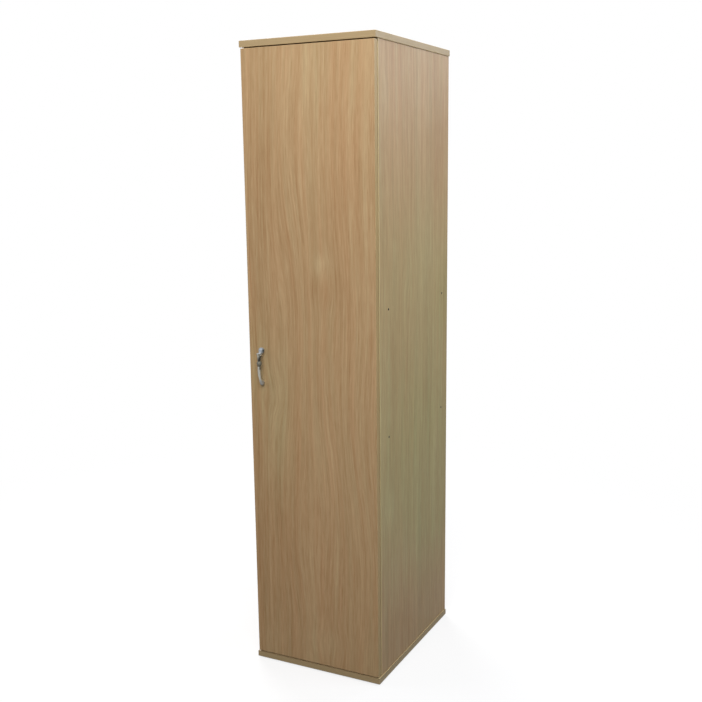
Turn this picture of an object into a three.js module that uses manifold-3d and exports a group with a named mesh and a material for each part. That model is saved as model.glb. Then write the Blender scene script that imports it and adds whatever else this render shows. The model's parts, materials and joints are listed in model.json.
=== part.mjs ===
// A tall wardrobe with one full-height door on concealed cup hinges, two fixed shelves and a
// hanging rail. Millimetres, +Z up, front towards -Y, origin under the middle of the whole outline.
import * as THREE from 'three';
import { mergeVertices } from 'three/addons/utils/BufferGeometryUtils.js';
import Module from 'manifold-3d';

const wasm = await Module();
wasm.setup();

// Cabinet
const overallHeight = 1850;
const panelWidth = 420;
const panelDepth = 530;
const boardThickness = 18;
const sideOverhang = 3;
const boardArris = 1.2;
const boardSeam = 0.2;
const fixingGap = 0.3;
const cutOverrun = 2;

// Facets round each kind of curve
const pinSides = 8;
const screwSides = 8;
const headSides = 10;
const discSides = 12;
const cupSides = 24;
const socketSides = 6;
const ballSides = 14;
const ballRings = 9;
const bowSides = 10;
const arcSegments = 3;
const barArcSegments = 2;
const arrisSegments = 2;
const linkSteps = 6;

// Back panel and its grooves
const backThickness = 3;
const backInset = 10;
const grooveDepth = 8;

// Fixed shelves, heights of their middles above the floor
const lowerShelfHeight = 740;
const upperShelfHeight = 1110;
const shelfFrontInset = 6;

// Door
const doorThickness = 18;
const doorBackGap = 2;
const doorEndGap = 3;
const doorInset = 1;

// Bow handle
const handleHeight = 932;
const handleFromDoorEdge = 44;
const handleReach = 28;
const handleSpacing = 96;
const knobRadius = 9;
const knobDepth = 15;
const knobSeatRadius = 5.4;
const footRadius = 5.2;
const footLength = 20;
const collarRadius = 8;
const bulbRadius = 7;
const shoulderRadius = 5.2;
const bellRadius = 4.7;
const stemRadius = 3.6;
const neckRadius = 3;
const handleScrewRadius = 2;
const handleScrewGrip = 7;
const handleScrewHeadRadius = 4.2;
const handleScrewHeadHeight = 2.4;

// Hinge cup, its flange and its wing screws
const cupRadius = 17.2;
const cupDepth = 12.8;
const cupWall = 0.8;
const cupFromDoorEdge = 22.5;
const flangeThickness = 1;
const flangeRadius = 18.6;
const wingReach = 24;
const wingRadius = 5.5;
const wingSetback = 6;
const wingScrewRadius = 1.8;
const wingScrewLength = 10;
const wingScrewHeadRadius = 3.4;

// Hinge pivots. Arm pins are measured in from the side's inner face and back from its front edge,
// cup pins in from the door's edge and down from its back face.
const pinRadius = 1.25;
const outerArmPinInside = 22;
const outerArmPinBehind = 9.8;
const innerArmPinInside = 12.4;
const innerArmPinBehind = 3.2;
const outerCupPinEdge = 10.7;
const outerCupPinDepth = 2.6;
const innerCupPinEdge = 10.2;
const innerCupPinDepth = 8.6;

// Hinge links
const linkEyeRadius = 2.5;
const linkHalfWidth = 1.5;
const outerLinkHalfLane = 2;
const cupEarInner = 2.3;
const cupEarOuter = 3.5;
const innerLinkLaneStart = 3.9;
const innerLinkLaneEnd = 5.4;
const slotTravel = 2.7;
const slotSideClearance = 0.55;
const slotWall = 1.1;
const outerLinkBowInside = 1.3;
const outerLinkBowDepth = 5.6;
const innerLinkBowInside = 14;
const innerLinkBowDepth = 15.5;

// Hinge arm and mounting plate
const armHalfWidth = 8.2;
const armWall = 1.2;
const armRise = 13.2;
const armBack = 62;
const armKnee = 24;
const armTipRadius = 3.1;
const adjusterRadius = 1.8;
const adjusterHeadRadius = 3.3;
const adjusterHeadHeight = 1.4;
const sideAdjusterBehind = 32;
const depthAdjusterBehind = 50;
const plateScrewBehind = 37;
const plateScrewSpacing = 32;
const plateThickness = 2;
const plateWidth = 18;
const plateEndReach = 8;
const saddleRise = 5.5;
const saddleFront = 26;
const plateScrewRadius = 2.5;
const plateScrewLength = 11;
const plateScrewHeadRadius = 4.4;
const plateScrewHeadHeight = 1.5;
const screwSlotWidth = 1;

// Hinge heights
const hingeEndDistance = 100;

// Shelf screws
const shelfScrewRadius = 2.4;
const shelfScrewLength = 50;
const shelfScrewHeadRadius = 3.6;
const shelfScrewHeadDepth = 3;
const shelfScrewSocketRadius = 1.9;
const shelfScrewSocketDepth = 2.4;
const shelfScrewFrontInset = 60;
const shelfScrewRearInset = 47;

// Cam fittings between the sides and the top and bottom panels
const camRadius = 7.4;
const camDepth = 12.4;
const camFromEnd = 34;
const camInset = 62;
const camSlotWidth = 1.6;
const camSlotDepth = 2;
const camBoltRadius = 3.3;
const camBoltEntry = 11;

// Hanging rail and its sockets
const railHeight = 30;
const railWidth = 15;
const railWall = 1.2;
const railDrop = 62;
const railEndGap = 0.5;
const socketBase = 3;
const socketWall = 2;
const socketDepth = 12;
const socketPlateHeight = 52;
const socketPlateWidth = 22;
const socketScrewRadius = 1.8;
const socketScrewLength = 13;
const socketScrewHeadRadius = 3.2;
const socketScrewHeadHeight = 1;
const socketScrewSpacing = 43;

// Glides and door bumpers
const glideHeight = 4;
const glideRadius = 11;
const glideInset = 32;
const glideNailRadius = 1.2;
const glideNailLength = 14;
const bumperRadius = 4.5;
const bumperHeight = 1.6;
const bumperFromDoorEdge = 9;
const bumperEndDistance = 60;

// Faces worked out from the sizes above
const panelFront = (handleReach - panelDepth) / 2;
const panelRear = panelFront + panelDepth;
const panelHalf = panelWidth / 2;
const sideOuter = panelHalf - sideOverhang;
const sideInner = sideOuter - boardThickness;
const bottomTop = glideHeight + boardThickness;
const topUnder = overallHeight - boardThickness;
const sideBase = bottomTop + boardSeam;
const sideTop = topUnder - boardSeam;
const doorBack = panelFront + doorThickness;
const sideFront = doorBack + doorBackGap;
const doorEdge = sideOuter - doorInset;
const doorBase = bottomTop + doorEndGap;
const doorTop = topUnder - doorEndGap;
const backFront = panelRear - backInset - backThickness;
const backRear = panelRear - backInset;
const handleX = handleFromDoorEdge - doorEdge;
const handleTop = handleHeight + handleSpacing / 2;
const handleFoot = handleHeight - handleSpacing / 2;
const railLevel = topUnder - railDrop;
const railY = (sideFront + backFront) / 2;
const cupX = doorEdge - cupFromDoorEdge;
const cupSeat = doorBack + boardSeam;
const plateScrewSteps = [-plateScrewSpacing / 2, plateScrewSpacing / 2];
const socketScrewSteps = [-socketScrewSpacing / 2, socketScrewSpacing / 2];
const halfShelf = boardThickness / 2;

const hingeLevels = [
  doorBase + hingeEndDistance,
  (lowerShelfHeight + upperShelfHeight) / 2,
  doorTop - hingeEndDistance,
];

// Pivots seen from above
const outerArmPin = [sideInner - outerArmPinInside, sideFront + outerArmPinBehind];
const innerArmPin = [sideInner - innerArmPinInside, sideFront + innerArmPinBehind];
const outerCupPin = [doorEdge - outerCupPinEdge, doorBack - outerCupPinDepth];
const innerCupPin = [doorEdge - innerCupPinEdge, doorBack - innerCupPinDepth];

// Finishes
function finish(color, roughness, metalness) {
  return new THREE.MeshStandardMaterial({ color, roughness, metalness });
}

const beech = finish(0xb38f66, 0.45, 0);
const hardboard = finish(0xc9b38f, 0.7, 0);
const nickel = finish(0xb9bab8, 0.28, 1);
const zincPlate = finish(0xa9abad, 0.4, 1);
const darkZinc = finish(0x4a4846, 0.5, 1);
const railSteel = finish(0xc4c6c8, 0.25, 1);
const glidePlastic = finish(0x3c3a38, 0.6, 0);
const clearRubber = finish(0xd8d8d0, 0.5, 0);

// A closed geometry becomes a solid that can be joined and cut.
function solidOf(geometry) {
  const bare = geometry.clone();
  bare.deleteAttribute('normal');
  bare.deleteAttribute('uv');
  const welded = mergeVertices(bare);
  return new wasm.Manifold(new wasm.Mesh({
    numProp: 3,
    vertProperties: Float32Array.from(welded.attributes.position.array),
    triVerts: Uint32Array.from(welded.index.array),
  }));
}

const joined = (geometries) => geometries.map(solidOf).reduce((whole, piece) => whole.add(piece));
const cutBy = (solid, geometries) => geometries.map(solidOf)
  .reduce((whole, piece) => whole.subtract(piece), solid);

// A joined or cut solid becomes a geometry again.
function geometryOf(solid) {
  const { vertProperties, triVerts } = solid.getMesh();
  const geometry = new THREE.BufferGeometry();
  geometry.setAttribute('position', new THREE.BufferAttribute(vertProperties, 3));
  geometry.setIndex(new THREE.BufferAttribute(triVerts, 1));
  return geometry.toNonIndexed();
}

function meshOf(name, shape, material) {
  const geometry = shape instanceof THREE.BufferGeometry ? shape : geometryOf(shape);
  geometry.computeVertexNormals();
  const mesh = new THREE.Mesh(geometry, material);
  mesh.name = name;
  return mesh;
}

// A box between two opposite corners.
function block(low, high) {
  const size = high.map((value, axis) => value - low[axis]);
  const middle = high.map((value, axis) => (value + low[axis]) / 2);
  return new THREE.BoxGeometry(...size).translate(...middle);
}

// A round bar from a point along +X, +Y or +Z, or against it where the length is negative.
function rod(start, axis, length, radius, sides = headSides) {
  const bar = new THREE.CylinderGeometry(radius, radius, Math.abs(length), sides);
  bar.translate(0, Math.abs(length) / 2, 0);
  return aim(bar, axis, Math.sign(length)).translate(...start);
}

// A clearance hole for a round bar, from its mouth along an axis to a signed depth.
function hole(mouth, axis, depth, radius, sides = pinSides) {
  const way = Math.sign(depth);
  const start = [...mouth];
  start['xyz'.indexOf(axis)] -= way * cutOverrun;
  return rod(start, axis, depth + way * (cutOverrun + fixingGap), radius + fixingGap, sides);
}

// A shank into a hole and a head standing out of it, from a point between the two.
function headedPin(seat, axis, shank, shankRadius, head, headRadius) {
  return [
    rod(seat, axis, shank, shankRadius, pinSides),
    rod(seat, axis, -Math.sign(shank) * head, headRadius, headSides),
  ];
}

// Turns a shape made about +Y so that it points along the given axis.
function aim(geometry, axis, sign = 1) {
  geometry.rotateX(sign < 0 ? Math.PI : 0);
  geometry.rotateZ(axis === 'x' ? -Math.PI / 2 : 0);
  return geometry.rotateX(axis === 'z' ? Math.PI / 2 : 0);
}

const planPoints = (points) => points.map(([x, y]) => new THREE.Vector2(x, y));
const revolve = (profile, sides) => new THREE.LatheGeometry(planPoints(profile), sides);
const outline = (points) => new THREE.Shape(planPoints(points));

// An outline seen from above, raised between two levels.
function raised(shape, low, high, curveSegments = arcSegments) {
  const settings = { depth: high - low, bevelEnabled: false, curveSegments };
  return new THREE.ExtrudeGeometry(shape, settings).translate(0, 0, low);
}

// A bar with round ends between two plan points.
function linkBar(from, to, radius, low, high) {
  const heading = Math.atan2(to[1] - from[1], to[0] - from[0]);
  const shape = new THREE.Shape();
  shape.absarc(to[0], to[1], radius, heading - Math.PI / 2, heading + Math.PI / 2);
  shape.absarc(from[0], from[1], radius, heading + Math.PI / 2, heading + Math.PI * 3 / 2);
  return raised(shape, low, high, barArcSegments);
}

// A bowed bar of even width between two plan points, pulled towards a third.
function bowedBar(from, pull, to, halfWidth, low, high) {
  const curve = new THREE.QuadraticBezierCurve(...planPoints([from, pull, to]));
  const points = curve.getPoints(linkSteps);
  const edges = [-halfWidth, halfWidth].map((offset) => points.map((point, step) => {
    const tangent = curve.getTangent(step / linkSteps);
    return [point.x + tangent.y * offset, point.y - tangent.x * offset];
  }));
  return raised(outline([...edges[1], ...edges[0].reverse()]), low, high);
}

// An upright oval, wider than deep or the other way round, as a plan outline.
function ovalOutline(height, width) {
  const radius = width / 2;
  const reach = height / 2 - radius;
  const shape = new THREE.Shape();
  shape.absarc(0, reach, radius, 0, Math.PI);
  shape.absarc(0, -reach, radius, Math.PI, 2 * Math.PI);
  return shape;
}

// Turns an extrusion so that its outline's x, y become y, z and its depth runs along +X.
function alongX(geometry) {
  return geometry.applyMatrix4(new THREE.Matrix4().set(0, 0, 1, 0, 1, 0, 0, 0, 0, 1, 0, 0, 0, 0, 0, 1));
}

// Turns an extrusion so that its outline's x, y become x, z and its depth runs along -Y.
function alongFront(geometry) {
  return geometry.rotateX(Math.PI / 2);
}

// A board whose long arrises are all slightly rounded by the edge banding.
function bandedBoard(width, height, thickness) {
  const [x, y] = [width / 2, height / 2];
  const shape = outline([[-x, -y], [x, -y], [x, y], [-x, y]]);
  return new THREE.ExtrudeGeometry(shape, {
    depth: thickness - 2 * boardArris,
    bevelThickness: boardArris,
    bevelSize: boardArris,
    bevelOffset: -boardArris,
    bevelSegments: arrisSegments,
  }).translate(0, 0, boardArris);
}

const camPlaces = [sideFront + camInset, panelRear - camInset];

function horizontalPanel(base) {
  const board = bandedBoard(panelWidth, panelDepth, boardThickness);
  return board.translate(0, (panelFront + panelRear) / 2, base);
}

// The groove that takes the back panel, cut up or down into a horizontal panel.
function backGroove(face, direction) {
  const reach = sideInner + grooveDepth + fixingGap;
  const ends = [face - direction * cutOverrun, face + direction * grooveDepth].sort((a, b) => a - b);
  return block([-reach, backFront - fixingGap, ends[0]], [reach, backRear + fixingGap, ends[1]]);
}

function boltHoles(face, direction) {
  const middle = sideInner + boardThickness / 2;
  return camPlaces.flatMap((y) => [-middle, middle]
    .map((x) => hole([x, y, face], 'z', direction * camBoltEntry, camBoltRadius, screwSides)));
}

const glidePlaces = [-1, 1].flatMap((side) => [panelFront + glideInset, panelRear - glideInset]
  .map((y) => [side * (panelHalf - glideInset), y]));

function topPanel() {
  const cuts = [backGroove(topUnder, 1), ...boltHoles(topUnder, 1)];
  return meshOf('top_panel', cutBy(solidOf(horizontalPanel(topUnder)), cuts), beech);
}

function bottomPanel() {
  const nailHoles = glidePlaces
    .map((place) => hole([...place, glideHeight], 'z', glideNailLength, glideNailRadius));
  const cuts = [backGroove(bottomTop, -1), ...boltHoles(bottomTop, -1), ...nailHoles];
  return meshOf('bottom_panel', cutBy(solidOf(horizontalPanel(glideHeight)), cuts), beech);
}

// Seen from above: square at the rear, rounded at the two front corners.
function sideOutline(hand) {
  const inner = Math.min(hand * sideInner, hand * sideOuter);
  const outer = Math.max(hand * sideInner, hand * sideOuter);
  const shape = new THREE.Shape();
  shape.moveTo(inner, panelRear);
  shape.lineTo(inner, sideFront + boardArris);
  shape.absarc(inner + boardArris, sideFront + boardArris, boardArris, Math.PI, Math.PI * 3 / 2);
  shape.absarc(outer - boardArris, sideFront + boardArris, boardArris, -Math.PI / 2, 0);
  shape.lineTo(outer, panelRear);
  return shape;
}

const shelfScrewPlaces = [sideFront + shelfScrewFrontInset, panelRear - shelfScrewRearInset];

// A hole into or through a side, bored from its inner face.
function sideBore(hand, y, z, depth, radius, sides = pinSides) {
  return hole([hand * sideInner, y, z], 'x', hand * depth, radius, sides);
}

function shelfScrewCut(hand, y, z) {
  const through = sideBore(hand, y, z, boardThickness + cutOverrun, shelfScrewRadius);
  const sink = aim(new THREE.CylinderGeometry(
    shelfScrewHeadRadius + fixingGap, shelfScrewRadius + fixingGap, shelfScrewHeadDepth, headSides), 'x', hand);
  return [through, sink.translate(hand * (sideOuter - shelfScrewHeadDepth / 2), y, z)];
}

function camCuts(hand) {
  const middle = hand * (sideInner + boardThickness / 2);
  const reach = camFromEnd + cutOverrun;
  const clearRadius = camBoltRadius + fixingGap;
  return camPlaces.flatMap((y) => [[sideBase + camFromEnd, -reach], [sideTop - camFromEnd, reach]]
    .flatMap(([z, length]) => [
      sideBore(hand, y, z, camDepth, camRadius, discSides),
      rod([middle, y, z], 'z', length, clearRadius, screwSides),
    ]));
}

// A box between two distances out from the middle of the cabinet, on one hand.
function handedBlock(hand, near, far, low, high) {
  const [inner, outer] = [hand * near, hand * far].sort((a, b) => a - b);
  return block([inner, ...low], [outer, ...high]);
}

function sidePanel(name, hand) {
  const groove = handedBlock(hand, sideInner - cutOverrun, sideInner + grooveDepth,
    [backFront - fixingGap, sideBase - cutOverrun], [backRear + fixingGap, sideTop + cutOverrun]);
  const shelfScrews = [lowerShelfHeight, upperShelfHeight]
    .flatMap((z) => shelfScrewPlaces.flatMap((y) => shelfScrewCut(hand, y, z)));
  const socketScrews = socketScrewSteps
    .map((step) => sideBore(hand, railY, railLevel + step, socketScrewLength, socketScrewRadius));
  const plateScrews = hingeLevels.flatMap((level) => plateScrewSteps.map((step) => sideBore(
    hand, sideFront + plateScrewBehind, level + step, plateScrewLength, plateScrewRadius)));
  const cuts = [groove, ...camCuts(hand), ...shelfScrews, ...socketScrews, ...(hand > 0 ? plateScrews : [])];
  return meshOf(name, cutBy(solidOf(raised(sideOutline(hand), sideBase, sideTop)), cuts), beech);
}

function backPanel() {
  const reach = sideInner + grooveDepth - boardSeam;
  const drop = grooveDepth - boardSeam;
  const panel = block([-reach, backFront, bottomTop - drop], [reach, backRear, topUnder + drop]);
  return meshOf('back_panel', panel, hardboard);
}

function shelf(name, level) {
  const front = sideFront + shelfFrontInset;
  const rear = backFront - boardSeam;
  const half = sideInner - boardSeam;
  const shape = new THREE.Shape();
  shape.moveTo(rear, level - halfShelf);
  shape.lineTo(rear, level + halfShelf);
  shape.absarc(front + boardArris, level + halfShelf - boardArris, boardArris, Math.PI / 2, Math.PI);
  shape.absarc(front + boardArris, level - halfShelf + boardArris, boardArris, Math.PI, Math.PI * 3 / 2);
  const board = alongX(raised(shape, -half, half));
  const depth = shelfScrewLength - boardThickness;
  const bores = [-1, 1].flatMap((hand) => shelfScrewPlaces
    .map((y) => hole([hand * half, y, level], 'x', -hand * depth, shelfScrewRadius)));
  return meshOf(name, cutBy(solidOf(board), bores), beech);
}

function door() {
  const height = doorTop - doorBase;
  const board = alongFront(bandedBoard(2 * doorEdge, height, doorThickness))
    .translate(0, doorBack, (doorBase + doorTop) / 2);
  const cupHoles = hingeLevels.flatMap((level) => [
    hole([cupX, doorBack, level], 'y', -cupDepth, cupRadius, cupSides),
    hole([cupX - wingSetback, doorBack, level - wingReach], 'y', -wingScrewLength, wingScrewRadius),
    hole([cupX - wingSetback, doorBack, level + wingReach], 'y', -wingScrewLength, wingScrewRadius),
  ]);
  const handleHoles = [handleFoot, handleTop]
    .map((z) => hole([handleX, doorBack, z], 'y', -(doorThickness + cutOverrun), handleScrewRadius));
  return meshOf('door', cutBy(solidOf(board), [...cupHoles, ...handleHoles]), beech);
}

// The pressed cup with its flange, wings, wing screws and the two link pins.
function hingeCup(name, level) {
  const inner = cupRadius - cupWall;
  const shell = revolve([
    [0, -cupDepth], [cupRadius - cupWall, -cupDepth], [cupRadius, cupWall - cupDepth], [cupRadius, 0],
    [flangeRadius, 0], [flangeRadius, flangeThickness], [inner, flangeThickness],
    [inner, cupWall - cupDepth], [0, cupWall - cupDepth],
  ], cupSides);
  const wing = ovalOutline(2 * (wingReach + wingRadius), 2 * wingRadius);
  const wings = alongFront(raised(wing, -flangeThickness, 0)).translate(-wingSetback, 0, 0);
  const mouth = rod([0, -cupWall, 0], 'y', cupWall + flangeThickness + cutOverrun, inner, cupSides);
  const plate = solidOf(wings).subtract(solidOf(mouth));
  const screws = [-wingReach, wingReach].flatMap((step) => headedPin([-wingSetback, flangeThickness / 2, step],
    'y', -(wingScrewLength + flangeThickness / 2), wingScrewRadius, flangeThickness, wingScrewHeadRadius));
  const chord = innerCupPin[0] - cupX + pinRadius;
  const deep = Math.sqrt(inner ** 2 - chord ** 2) + cupWall / 2;
  const crossPin = ([x, y], half) => rod([x - cupX, y - cupSeat, -half], 'z', 2 * half, pinRadius, pinSides);
  const earReach = pinRadius + cupWall;
  const [earX, earY] = [outerCupPin[0] - cupX, outerCupPin[1] - cupSeat];
  const ear = (low, high) => block([earX - earReach, earY - earReach, low], [inner, earY + earReach, high]);
  const whole = solidOf(shell).add(plate)
    .add(joined([
      ...screws,
      crossPin(innerCupPin, deep),
      ear(-cupEarOuter, -cupEarInner),
      ear(cupEarInner, cupEarOuter),
      crossPin(outerCupPin, cupEarOuter),
    ]));
  return meshOf(name, whole.translate(cupX, cupSeat, level), zincPlate);
}

// Plain bar between the tail pin on the arm and the shallow pin in the cup.
function outerLink(name, level) {
  const pull = [sideInner - outerLinkBowInside, doorBack - outerLinkBowDepth];
  const eyes = [outerArmPin, outerCupPin];
  const body = joined([
    bowedBar(outerArmPin, pull, outerCupPin, linkHalfWidth, -outerLinkHalfLane, outerLinkHalfLane),
    ...eyes.map((pin) => rod([...pin, -outerLinkHalfLane], 'z', 2 * outerLinkHalfLane, linkEyeRadius)),
  ]);
  const bores = eyes.map((pin) => hole([...pin, -outerLinkHalfLane], 'z',
    2 * outerLinkHalfLane + cutOverrun, pinRadius));
  return meshOf(name, cutBy(body, bores).translate(0, 0, level), zincPlate);
}

// Two cheeks joined by a barrel on the deep cup pin, with slots that slide on the arm's front pins.
function innerLink(name, level) {
  const span = [innerArmPin[0] - innerCupPin[0], innerArmPin[1] - innerCupPin[1]];
  const reach = Math.hypot(...span);
  const slotEnd = innerArmPin.map((value, axis) => value + span[axis] / reach * slotTravel);
  const slotRadius = pinRadius + slotSideClearance;
  const pull = [sideInner - innerLinkBowInside, doorBack - innerLinkBowDepth];
  const cheeks = [-innerLinkLaneEnd, innerLinkLaneStart].flatMap((low) => {
    const high = low + innerLinkLaneEnd - innerLinkLaneStart;
    return [
      bowedBar(innerArmPin, pull, innerCupPin, linkHalfWidth, low, high),
      linkBar(innerArmPin, slotEnd, slotRadius + slotWall, low, high),
    ];
  });
  const barrel = rod([...innerCupPin, -innerLinkLaneEnd], 'z', 2 * innerLinkLaneEnd, linkEyeRadius);
  const past = innerLinkLaneEnd + cutOverrun;
  const cuts = [
    linkBar(innerArmPin, slotEnd, slotRadius, -past, past),
    hole([...innerCupPin, -innerLinkLaneEnd], 'z', innerLinkLaneEnd + past, pinRadius),
  ];
  return meshOf(name, cutBy(joined([...cheeks, barrel]), cuts).translate(0, 0, level), zincPlate);
}

// A folded channel with its two link pins and adjusting screws.
function hingeArm(name, level) {
  const floor = sideInner - plateThickness - fixingGap;
  const roof = sideInner - armRise;
  const knee = sideFront + armKnee;
  const web = block([roof, knee, -armHalfWidth], [roof + armWall, sideFront + armBack, armHalfWidth]);
  const flanks = block([roof, knee, -armHalfWidth], [floor, sideFront + armBack, armHalfWidth]);
  const heel = [roof + armTipRadius, knee + armTipRadius];
  const nose = [[outerArmPin, heel], [innerArmPin, heel], [innerArmPin, outerArmPin]]
    .map(([from, to]) => linkBar(from, to, armTipRadius, -armHalfWidth, armHalfWidth));
  const tip = innerArmPin[1] - armTipRadius;
  const between = block([sideInner - outerArmPinInside - armRise, tip - cutOverrun, armWall - armHalfWidth],
    [sideInner, sideFront + armBack + cutOverrun, armHalfWidth - armWall]);
  const stubStart = innerLinkLaneStart - fixingGap;
  const stubs = [-1, 1].map((side) => rod([...innerArmPin, side * stubStart], 'z',
    side * (armHalfWidth - stubStart), pinRadius, pinSides));
  const tail = rod([...outerArmPin, -armHalfWidth], 'z', 2 * armHalfWidth, pinRadius, pinSides);
  const shank = sideInner - saddleRise - fixingGap - roof - armWall / 2;
  const adjusters = [sideAdjusterBehind, depthAdjusterBehind].flatMap((behind) => headedPin(
    [roof + armWall / 2, sideFront + behind, 0], 'x', shank, adjusterRadius,
    adjusterHeadHeight + armWall / 2, adjusterHeadRadius));
  const channel = cutBy(joined([flanks, ...nose]), [between]);
  const fittings = joined([web, ...stubs, tail, ...adjusters]);
  return meshOf(name, channel.add(fittings).translate(0, 0, level), zincPlate);
}

// The plate on the side panel, with the saddle that the arm clips over and its two screws.
function hingePlate(name, level) {
  const middle = sideFront + plateScrewBehind;
  const reach = plateScrewSpacing / 2 + plateEndReach;
  const oval = raised(ovalOutline(2 * reach, plateWidth), -plateThickness, 0);
  const wing = alongX(oval).translate(sideInner, middle, 0);
  const half = armHalfWidth - armWall - fixingGap;
  const saddle = block([sideInner - saddleRise, sideFront + saddleFront, -half],
    [sideInner, sideFront + armBack, half]);
  const screws = plateScrewSteps.flatMap((step) => headedPin([sideInner - plateThickness / 2, middle, step],
    'x', plateScrewLength + plateThickness / 2, plateScrewRadius,
    plateScrewHeadHeight + plateThickness / 2, plateScrewHeadRadius));
  const headTop = sideInner - plateThickness - plateScrewHeadHeight;
  const slots = plateScrewSteps.map((step) => block(
    [headTop - cutOverrun, middle - plateScrewHeadRadius, step - screwSlotWidth / 2],
    [headTop + plateScrewHeadHeight / 2, middle + plateScrewHeadRadius, step + screwSlotWidth / 2]));
  return meshOf(name, cutBy(joined([wing, saddle, ...screws]), slots).translate(0, 0, level), zincPlate);
}

// A countersunk screw through a side into a shelf end.
function shelfScrew(name, hand, y, level) {
  const neck = shelfScrewLength - shelfScrewHeadDepth;
  const shaft = revolve([
    [0, 0], [shelfScrewRadius / 2, 0], [shelfScrewRadius, shelfScrewRadius], [shelfScrewRadius, neck],
    [shelfScrewHeadRadius, shelfScrewLength], [0, shelfScrewLength],
  ], headSides);
  const socket = rod([0, shelfScrewLength - shelfScrewSocketDepth, 0], 'y',
    shelfScrewSocketDepth + cutOverrun, shelfScrewSocketRadius, socketSides);
  const screw = aim(geometryOf(cutBy(solidOf(shaft), [socket])), 'x', hand);
  return meshOf(name, screw.translate(hand * (sideOuter - shelfScrewLength), y, level), darkZinc);
}

// A cam disc in the side with its bolt in the top or bottom panel, drawn tight.
function camFitting(name, hand, y, direction) {
  const level = direction > 0 ? sideTop - camFromEnd : sideBase + camFromEnd;
  const middle = hand * (sideInner + boardThickness / 2);
  const disc = rod([hand * sideInner, y, level], 'x', hand * camDepth, camRadius, discSides);
  const bolt = rod([middle, y, level], 'z',
    direction * (camFromEnd + boardSeam + camBoltEntry), camBoltRadius, screwSides);
  const [slotHalf, crossHalf] = [camRadius / 2, camSlotWidth / 2];
  const slots = [[slotHalf, crossHalf], [crossHalf, slotHalf]].map(([dy, dz]) => handedBlock(hand,
    sideInner - cutOverrun, sideInner + camSlotDepth, [y - dy, level - dz], [y + dy, level + dz]));
  return meshOf(name, cutBy(joined([disc, bolt]), slots), zincPlate);
}

function hangingRail() {
  const shape = ovalOutline(railHeight, railWidth);
  shape.holes.push(ovalOutline(railHeight - 2 * railWall, railWidth - 2 * railWall));
  const half = sideInner - boardSeam - socketBase - railEndGap;
  const tube = alongX(raised(shape, -half, half));
  return meshOf('hanging_rail', tube.translate(0, railY, railLevel), railSteel);
}

function railSocket(name, hand) {
  const clearHeight = railHeight + 2 * fixingGap;
  const clearWidth = railWidth + 2 * fixingGap;
  const base = raised(ovalOutline(socketPlateHeight, socketPlateWidth), 0, socketBase);
  const collar = ovalOutline(clearHeight + 2 * socketWall, clearWidth + 2 * socketWall);
  collar.holes.push(ovalOutline(clearHeight, clearWidth));
  const ring = raised(collar, socketBase / 2, socketDepth);
  const screws = socketScrewSteps.flatMap((step) => headedPin([0, step, socketBase / 2],
    'z', -(socketScrewLength + boardSeam), socketScrewRadius,
    socketBase / 2 + socketScrewHeadHeight, socketScrewHeadRadius));
  const socket = alongX(geometryOf(joined([base, ring, ...screws]))).rotateZ(hand > 0 ? Math.PI : 0);
  return meshOf(name, socket.translate(hand * (sideInner - boardSeam), railY, railLevel), zincPlate);
}

function glide(name, [x, y]) {
  const seat = glideHeight - boardSeam;
  const soft = glideHeight / 4;
  const profile = [
    [0, 0], [glideRadius - soft, 0], [glideRadius, soft], [glideRadius, seat],
    [glideNailRadius, seat], [glideNailRadius, glideHeight + glideNailLength - glideNailRadius],
    [0, glideHeight + glideNailLength],
  ];
  return meshOf(name, aim(revolve(profile, discSides), 'z').translate(x, y, 0), glidePlastic);
}

function doorBumper(name, level) {
  const profile = [
    [0, 0], [bumperRadius, 0], [bumperRadius, bumperHeight / 2],
    [bumperRadius / 2, bumperHeight], [0, bumperHeight],
  ];
  const dome = revolve(profile, headSides);
  return meshOf(name, dome.translate(bumperFromDoorEdge - doorEdge, doorBack, level), clearRubber);
}

// Reach from the door and height above the handle's middle, as shares of handleReach and handleSpacing.
const bowPathShares = [[0.27, 0.5], [0.52, 0.46], [0.73, 0.39], [0.8, 0.29], [0.79, 0.2], [0.77, 0.125],
  [0.8, 0.02], [0.81, -0.095], [0.76, -0.22], [0.64, -0.345], [0.43, -0.44], [0.18, -0.5]];

// Places along the bow and the radius at each.
const bowPlaceShares = [0, 0.09, 0.124, 0.134, 0.162, 0.172, 0.2, 0.26, 0.32, 0.34, 0.365, 0.388,
  0.411, 0.436, 0.456, 0.5, 0.56, 0.62, 0.68, 0.74, 0.8, 0.86, 0.92, 1];
const bowRadii = [shoulderRadius, stemRadius, stemRadius, collarRadius, collarRadius, shoulderRadius,
  bellRadius, stemRadius, neckRadius, shoulderRadius, bulbRadius, bulbRadius,
  bulbRadius, shoulderRadius, stemRadius, stemRadius, stemRadius, stemRadius, stemRadius, stemRadius,
  stemRadius, neckRadius, neckRadius, stemRadius];

// A closed body of round sections strung along a curve in the YZ plane.
function stringRound(curve, placeShares, radii, sides) {
  const across = new THREE.Vector3(1, 0, 0);
  const points = placeShares.flatMap((share, ring) => {
    const centre = curve.getPointAt(share);
    const lift = new THREE.Vector3().crossVectors(curve.getTangentAt(share), across);
    return Array.from({ length: sides }, (_, side) => {
      const angle = side / sides * 2 * Math.PI;
      return centre.clone()
        .addScaledVector(across, Math.cos(angle) * radii[ring])
        .addScaledVector(lift, Math.sin(angle) * radii[ring]);
    });
  });
  const last = points.length - sides;
  const faces = [];
  for (let ring = 0; ring < last; ring += sides) {
    for (let side = 0; side < sides; side += 1) {
      const [a, b] = [ring + side, ring + (side + 1) % sides];
      faces.push(a, b, b + sides, a, b + sides, a + sides);
    }
  }
  for (let side = 1; side < sides - 1; side += 1) {
    faces.push(0, side + 1, side, last, last + side, last + side + 1);
  }
  return new THREE.BufferGeometry().setFromPoints(points).setIndex(faces).toNonIndexed();
}

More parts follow.
